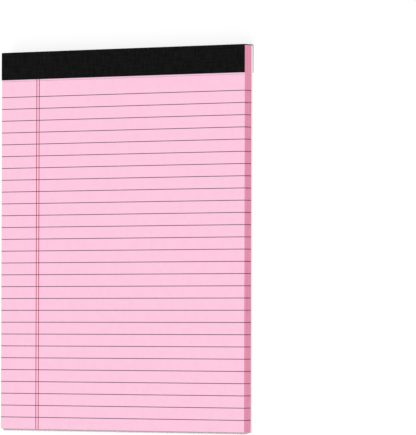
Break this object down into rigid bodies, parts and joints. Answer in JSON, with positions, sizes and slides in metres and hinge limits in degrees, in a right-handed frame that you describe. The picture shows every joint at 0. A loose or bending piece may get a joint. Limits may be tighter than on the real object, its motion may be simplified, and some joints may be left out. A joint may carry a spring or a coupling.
{
  "type": "legal pad",
  "caption": "Top-bound writing pad of ruled tear-off sheets with a double margin line, a stiff backing board, wire stitches and a folded tape over the binding edge.",
  "frame": {"origin": "under the middle of the pad, at the level that it lies on", "axes": "+Z out of the page, +Y up the page towards the bound edge, +X to the right of the page"},
  "size_m": [0.216, 0.28, 0.0118],
  "materials": {
    "pink_paper": "matt uncoated paper, dyed pink",
    "white_board": "matt white-lined board",
    "black_tape": "linen-embossed binding tape of coated paper, low sheen",
    "stitching_wire": "galvanised flat stitching wire",
    "rule_ink": "thin printed ink, grey",
    "margin_ink": "thin printed ink, crimson"
  },
  "bodies": {
    "root": {"paper_block": "pink_paper", "backing_board": "white_board", "binding_tape": "black_tape", "wire_stitches": "stitching_wire", "page_rules": "rule_ink", "margin_lines": "margin_ink"}
  },
  "joints": []
}
